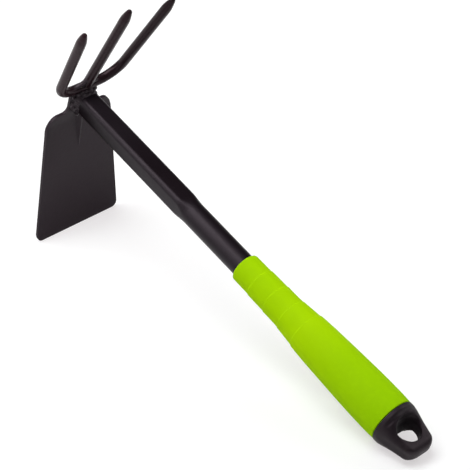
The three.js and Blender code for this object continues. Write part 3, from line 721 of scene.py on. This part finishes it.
def make_tube():
    stations = [GAP, 4] + list(np.arange(10, PRESSED_END, 8))
    stations += list(np.linspace(PRESSED_END, ROUND_START, 26))
    stations += list(np.linspace(ROUND_START, TUBE_END, 16))[1:]
    bm = bmesh.new()
    outside = loft_into(bm, [tube_section(x, 0) for x in stations], close_ends=False)
    inside = loft_into(bm, [tube_section(x, TUBE_WALL) for x in stations], close_ends=False)
    bridge(bm, outside[0], inside[0])
    bridge(bm, outside[-1], inside[-1])
    give_share(bm, "painted_shade", tube_painted_shade)
    return finish_mesh("shaft_tube", bm, TUBE_COAT, ["handle_tube"])


# Welds are drops of metal in rows, melted together.

def drop_into(bm, centre, radii, seed):
    made = bmesh.ops.create_icosphere(bm, subdivisions=3, radius=1)
    offset = Vector((seed, seed * DROP_SEED_SHARE, 0))
    for vert in made["verts"]:
        rough = 1 + DROP_ROUGHNESS * noise.noise(vert.co * DROP_ROUGHNESS_SCALE + offset)
        vert.co = Vector(centre) + Vector([c * r for c, r in zip(vert.co, radii)]) * rough


def weld_growth(share):
    return WELD_LAND + WELD_LEG * (1 - share) ** WELD_CURVE_POWER


def make_tube_weld():
    bm = bmesh.new()
    half_width = PRESSED_WIDTH / 2
    half_height = PRESSED_HEIGHT / 2
    climb = CROSS_RISE - BAR_RADIUS * WELD_SEAT_SHARE - half_height - weld_growth(0)
    rings = []
    for step in range(WELD_STEPS + 1):
        share = step / WELD_STEPS
        grow = weld_growth(share)
        ring = rounded_section(GAP / 2 + WELD_RUN * share, half_width + grow, half_height + grow,
                               PRESSED_CORNER + grow, steps=10)
        lift = climb * (1 - share) ** WELD_CURVE_POWER
        rings.append([(x, y, z + (lift if z > 0 else 0)) for x, y, z in ring])
    loft_into(bm, rings)
    for number, (x, y, z, size) in enumerate(WELD_LUMPS):
        drop_into(bm, (x, y, z), [size * share for share in WELD_LUMP_SHAPE], number)
    result = remeshed(work_object("work", bm), WELD_VOXEL, WELD_SMOOTHING)
    for vert in result.verts:
        if vert.co.y > half_width:
            vert.co.y = half_width + (vert.co.y - half_width) * WELD_RIGHT_SHARE
        calm = 1 - WELD_CALM * smoothstep(vert.co.z, *WELD_CALM_HEIGHTS)
        wave_place = vert.co * WELD_WAVE_SCALE + Vector(WELD_WAVE_OFFSET)
        rough = noise.noise(wave_place) * WELD_WAVE_HEIGHT
        rough += noise.noise(vert.co * WELD_RIPPLE_SCALE) * WELD_RIPPLE_HEIGHT
        vert.co += vert.normal * rough * calm
        near = (vert.co - Vector(WELD_PIT)).length / WELD_PIT_RADIUS
        vert.co -= vert.normal * WELD_PIT_DEPTH * math.exp(-near * near)
    return finish_mesh("tube_weld_bead", result, WELD_COAT, ["tube_weld"], crease_angle=80)


def make_fork_weld():
    bm = bmesh.new()
    depth, width, height = FORK_WELD_SIZE
    for number in range(FORK_WELD_DROPS):
        y = -FORK_WELD_HALF_SPAN + 2 * FORK_WELD_HALF_SPAN * number / (FORK_WELD_DROPS - 1)
        swell = 1 + FORK_WELD_SWELL * math.sin(number * FORK_WELD_SWELL_TURN)
        drop_into(bm, (-SHEET - FORK_WELD_SET, y, neck_top() + FORK_WELD_RISE),
                  (depth, width, height * swell), number)
    result = remeshed(work_object("work", bm), WELD_VOXEL, WELD_SMOOTHING)
    return finish_mesh("fork_weld_bead", result, WELD_COAT, ["fork_weld"], crease_angle=80)


def make_tine_weld(side, name, node, reach, rise):
    bm = bmesh.new()
    lean = Vector((math.sin(MIDDLE_LEAN), 0, math.cos(MIDDLE_LEAN)))
    foot = Vector((CROSS_SET, 0, CROSS_RISE))
    out = Vector((0, side, 0))
    start = BAR_RADIUS * TINE_WELD_START_SHARE
    for row in range(TINE_WELD_ROWS + 1):
        share = row / TINE_WELD_ROWS
        y = start + (reach - start) * share
        top = BAR_RADIUS * TINE_WELD_TOP_SHARE + rise * (1 - share) ** TINE_WELD_CURVE_POWER
        levels = max(1, round((top - TINE_WELD_FOOT) / TINE_WELD_SPACING))
        for level in range(levels + 1):
            h = TINE_WELD_FOOT + (top - TINE_WELD_FOOT) * level / levels
            depth = TINE_WELD_DEPTH + TINE_WELD_DEPTH_MORE * (1 - share)
            drop_into(bm, foot + out * y + lean * h, (depth, TINE_WELD_DROP, TINE_WELD_DROP),
                      row * TINE_WELD_SEED_STEP + level)
    result = remeshed(work_object("work", bm), TINE_WELD_VOXEL, TINE_WELD_SMOOTHING)
    for vert in result.verts:
        rough = noise.noise(vert.co * TINE_WELD_ROUGHNESS_SCALE)
        vert.co += vert.normal * TINE_WELD_ROUGHNESS * rough
    return finish_mesh(name, result, WELD_COAT, [node], crease_angle=80)


# Grip

def grip_radius(x):
    total = sum(profile_at(GRIP_PROFILE, x + offset) for offset in GRIP_SOFTENING)
    return total / len(GRIP_SOFTENING)


def ring_lift(x):
    edges = [share * GRIP_LENGTH for share in RING_SHARES] + [GRIP_LENGTH / 2]
    for edge, after in zip(edges, edges[1:]):
        if edge - RING_RISE <= x < after - RING_RISE:
            rise = smoothstep(x, edge - RING_RISE, edge)
            return RING_STEP * rise * (1 - max(0, x - edge) / (after - edge))
    return 0


def painted_grip_light(vert):
    return profile_at(PAINTED_GRIP_LIGHT, (vert.co.x - GRIP_START) / GRIP_LENGTH)


def make_grip():
    front = grip_radius(0)
    rings = [(GRIP_START + past, TUBE_RADIUS + space) for past, space in FRONT_EDGE]
    for step in range(LIP_STEPS + 1):
        angle = step / LIP_STEPS * math.pi / 2
        rings.append((GRIP_START + LIP_ROUND * (1 - math.cos(angle)),
                      front - LIP_ROUND * (1 - math.sin(angle))))
    places = list(np.arange(LIP_ROUND + 1, GRIP_LENGTH - 1, GRIP_CUT_SPACING))
    places += [share * GRIP_LENGTH + cut for share in RING_SHARES for cut in RING_CUTS]
    rings += [(GRIP_START + x, grip_radius(x) + ring_lift(x)) for x in sorted(places)]
    end = grip_radius(GRIP_LENGTH)
    rings += [(GRIP_END - back, end - fall) for back, fall in REAR_EDGE]
    rings.append((GRIP_END, end - SLEEVE_WALL))
    rings.append((GRIP_END - REAR_POCKET, grip_radius(GRIP_LENGTH - REAR_POCKET) - SLEEVE_WALL))
    bm = bmesh.new()
    rows = loft_into(bm, [turned_ring(x, radius, GRIP_SIDES) for x, radius in rings],
                     close_ends=False)
    bridge(bm, rows[-1], rows[0])
    give_share(bm, "painted_light", painted_grip_light)
    return finish_mesh("grip_overmould", bm, GRIP_RUBBER, ["grip_sleeve"], crease_angle=60)


# End cap

def rounding_at(x, radius):
    inside = max(0, x - (CAP_LENGTH - radius))
    return radius - math.sqrt(max(0, radius ** 2 - inside ** 2))


def cap_section(x):
    past = max(0, x - COLLAR_LENGTH)
    share = past / (CAP_LENGTH - COLLAR_LENGTH)
    high = math.exp(-(past / CAP_HEIGHT_FALL) ** CAP_HEIGHT_POWER)
    round_share = math.exp(-(past / CAP_CORNER_FALL) ** CAP_CORNER_POWER)
    half_width = (COLLAR_RADIUS + (CAP_END_HALF_WIDTH - COLLAR_RADIUS) * share
                  - rounding_at(x, CAP_CORNER))
    half_height = (CAP_END_HALF_HEIGHT + (COLLAR_RADIUS - CAP_END_HALF_HEIGHT) * high
                   - rounding_at(x, CAP_END_ROUND) * CAP_END_ROUND_SHARE)
    corner = CAP_SECTION_CORNER + (COLLAR_RADIUS - CAP_SECTION_CORNER) * round_share
    return half_width, half_height, min(corner, half_width, half_height)


def make_cap_body():
    straight = CAP_LENGTH - CAP_CORNER
    places = [0, 0.15, COLLAR_LENGTH - 0.6]
    places += list(np.linspace(COLLAR_LENGTH, straight, 40))
    places += [straight + CAP_CORNER * math.sin(math.pi / 2 * step / 16) for step in range(1, 17)]
    bm = bmesh.new()
    loft_into(bm, [rounded_section(CAP_START + x, *cap_section(x), steps=20) for x in places])
    return work_object("work_cap", bm)


def make_eye_cutter():
    rings = []
    for z, reaches in EYE_SECTIONS:
        ring = []
        for i in range(EYE_SIDES):
            turn = 360 * i / EYE_SIDES
            near = [min(angle % 360, 360 - angle % 360) for angle in EYE_BLEND_ANGLES + turn]
            reach = float(np.mean(np.interp(near, EYE_DIRECTIONS, reaches)))
            ring.append((EYE_X + reach * math.cos(math.radians(turn)),
                         reach * math.sin(math.radians(turn)), z))
        rings.append(ring)
    bm = bmesh.new()
    loft_into(bm, rings)
    return work_object("work_eye", bm)


# Painted shade on the cap: in the eye, over most of the cap and more below
def cap_painted_shade(vert):
    inward = Vector((EYE_X - vert.co.x, -vert.co.y, 0))
    facing = vert.normal.dot(inward.normalized()) if inward.length < EYE_WALL_REACH else 0
    low = smoothstep(EYE_SHADE_TOP - vert.co.z, 0, EYE_SHADE_FALL)
    in_the_eye = EYE_SHADE * smoothstep(facing, *EYE_WALL_FACING) * low
    end = smoothstep(vert.co.x - CAP_START, *CAP_SHADE_END)
    below = smoothstep(CAP_SHADE_BELOW_TOP - vert.co.z, 0, CAP_SHADE_BELOW_FALL)
    return max(in_the_eye, CAP_SHADE * (1 - end) + CAP_SHADE_BELOW * below)


def make_cap():
    body = make_cap_body()
    cutter = make_eye_cutter()
    cut = body.modifiers.new("eye", "BOOLEAN")
    cut.operation = "DIFFERENCE"
    cut.solver = "EXACT"
    cut.object = cutter
    result = remeshed(body, CAP_VOXEL, CAP_SMOOTHING)
    bpy.data.objects.remove(cutter)
    scoop = [vert for vert in result.verts
             if vert.co.z > SCOOP_RISE and SCOOP_START < vert.co.x < SCOOP_END]
    for _ in range(SCOOP_SMOOTHING):
        bmesh.ops.smooth_vert(result, verts=scoop, factor=0.5,
                              use_axis_x=True, use_axis_y=True, use_axis_z=True)
    for vert in result.verts:
        radial = Vector((0, vert.co.y, vert.co.z))
        if vert.co.z > 0 and radial.length > COLLAR_RADIUS * GROOVE_RADIUS_SHARE:
            near = (vert.co.x - CAP_START - GROOVE_PLACE) / GROOVE_HALF_WIDTH
            up = smoothstep(vert.co.z / radial.length, *GROOVE_TURN)
            vert.co -= radial.normalized() * GROOVE_DEPTH * up * math.exp(-near * near)
    result.normal_update()
    give_share(result, "painted_shade", cap_painted_shade)
    return finish_mesh("hanging_cap", result, CAP_PLASTIC, ["end_cap"], crease_angle=80)


make_blade()
make_outer_tines()
make_middle_tine()
make_tube()
make_tube_weld()
make_fork_weld()
make_tine_weld(-1, "tine_weld_left_fillet", "tine_weld_left", reach=13, rise=10)
make_tine_weld(1, "tine_weld_right_fillet", "tine_weld_right", reach=9, rise=7)
make_grip()
make_cap()
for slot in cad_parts["grip_core"].material_slots:
    slot.material = CORE_PLASTIC


# Floor, light and camera, in metres in the row's frame. The camera was fitted to the
# photograph, whose own pixels the first four values are in.

PHOTO_WIDTH = 470
FOCAL_PIXELS = 1750
CENTRE_X_PIXELS = -2.0
CENTRE_Y_PIXELS = 19.9
SENSOR_WIDTH = 36
CLIP_START = 0.05
CAMERA_AZIMUTH = math.radians(48.005)
CAMERA_ELEVATION = math.radians(35.939)
CAMERA_ROLL = math.radians(0.074)
CAMERA_DISTANCE = 1.2519
CAMERA_AIM = (-0.00155, 0, 0.06943)
FLOOR_HALF_SIZE = 14
FLOOR_COLOUR = (0.82, 0.80, 0.81, 1)
# What camera, glossy and transmission rays see of the floor: a greyer surface, and a glow that
# falls a little from the head to the cap
SEEN_FLOOR_COLOUR = (0.42, 0.445, 0.44, 1)
GLOW_COLOUR = (1, 0.955, 0.965, 1)
GLOW_SPAN = (-0.2, 0.12)
GLOW_AT_HEAD = 0.64
GLOW_AT_CAP = 0.57
ROOM_COLOUR = (0.97, 0.98, 1, 1)
ROOM_STRENGTH = 0.16
TOOL_CENTRE = (-0.05, 0, 0.05)


def floor_material():
    made = Nodes("pale_floor")
    made.tree.nodes.remove(made.shader)
    plain = made.add("ShaderNodeBsdfDiffuse", {"Color": FLOOR_COLOUR}).outputs[0]
    grey = made.add("ShaderNodeBsdfDiffuse", {"Color": SEEN_FLOOR_COLOUR}).outputs[0]
    along = made.add("ShaderNodeSeparateXYZ", {0: made.place}).outputs["X"]
    strength = made.remap(along, GLOW_SPAN, (GLOW_AT_HEAD, GLOW_AT_CAP),
                          interpolation_type="SMOOTHSTEP")
    glow = made.add("ShaderNodeEmission", {
        "Color": GLOW_COLOUR, "Strength": strength}).outputs[0]
    seen = made.add("ShaderNodeAddShader", {0: grey, 1: glow}).outputs[0]
    path = made.add("ShaderNodeLightPath").outputs
    camera_or_glossy = made.add("ShaderNodeMath", {
        0: path["Is Camera Ray"], 1: path["Is Glossy Ray"]}, operation="MAXIMUM").outputs[0]
    any_seen = made.add("ShaderNodeMath", {
        0: camera_or_glossy, 1: path["Is Transmission Ray"]}, operation="MAXIMUM").outputs[0]
    mix = made.add("ShaderNodeMixShader", {0: any_seen, 1: plain, 2: seen}).outputs[0]
    made.tree.links.new(mix, made.tree.nodes["Material Output"].inputs["Surface"])
    return made.material


def make_floor():
    bm = bmesh.new()
    bmesh.ops.create_grid(bm, x_segments=1, y_segments=1, size=FLOOR_HALF_SIZE)
    floor = linked_object("floor", bm)
    floor.data.materials.append(floor_material())


def make_light(name, place, target, size, power):
    data = bpy.data.lights.new(name, "AREA")
    data.shape = "RECTANGLE"
    data.size, data.size_y = size
    data.energy = power
    light = bpy.data.objects.new(name, data)
    light.location = place
    aim = Vector(target) - Vector(place)
    light.rotation_euler = aim.to_track_quat("-Z", "Y").to_euler()
    bpy.context.scene.collection.objects.link(light)
    return light


def make_world():
    world = bpy.data.worlds.new("studio")
    bpy.context.scene.world = world
    world.use_nodes = True
    room = world.node_tree.nodes["Background"]
    room.inputs["Color"].default_value = ROOM_COLOUR
    room.inputs["Strength"].default_value = ROOM_STRENGTH


def make_camera():
    data = bpy.data.cameras.new("camera")
    data.sensor_fit = "HORIZONTAL"
    data.sensor_width = SENSOR_WIDTH
    data.lens = SENSOR_WIDTH * FOCAL_PIXELS / PHOTO_WIDTH
    data.shift_x = -CENTRE_X_PIXELS / PHOTO_WIDTH
    data.shift_y = CENTRE_Y_PIXELS / PHOTO_WIDTH
    data.clip_start = CLIP_START
    camera = bpy.data.objects.new("camera", data)
    turn = (Euler((0, 0, CAMERA_AZIMUTH)).to_matrix()
            @ Euler((math.pi / 2 - CAMERA_ELEVATION, 0, 0)).to_matrix()
            @ Euler((0, 0, CAMERA_ROLL)).to_matrix())
    back = turn @ Vector((0, 0, 1))
    camera.location = Vector(CAMERA_AIM) + back * CAMERA_DISTANCE
    camera.rotation_euler = turn.to_euler()
    bpy.context.scene.collection.objects.link(camera)
    bpy.context.scene.camera = camera


make_floor()
make_world()
# The large softbox is split in two: one for surfaces and shadows, and one for reflections.
top = make_light("softbox_top", place=(-0.33, -0.3, 1.51), target=TOOL_CENTRE,
                 size=(1.2, 1.2), power=23.8)
top.visible_glossy = False
sheen = make_light("softbox_sheen", place=(-0.6, -0.54, 1.42), target=TOOL_CENTRE,
                   size=(1.3, 1.3), power=25.5)
sheen.visible_diffuse = False
make_light("softbox_left", place=(-0.7, -1.4, 0.75), target=(-0.1, 0, 0.08),
           size=(0.7, 1.0), power=5.5)
make_light("softbox_right", place=(0.5, 1.25, 1.0), target=(0, 0, 0.08),
           size=(0.6, 0.9), power=8.5)
make_camera()
bpy.context.scene.view_settings.view_transform = "Standard"
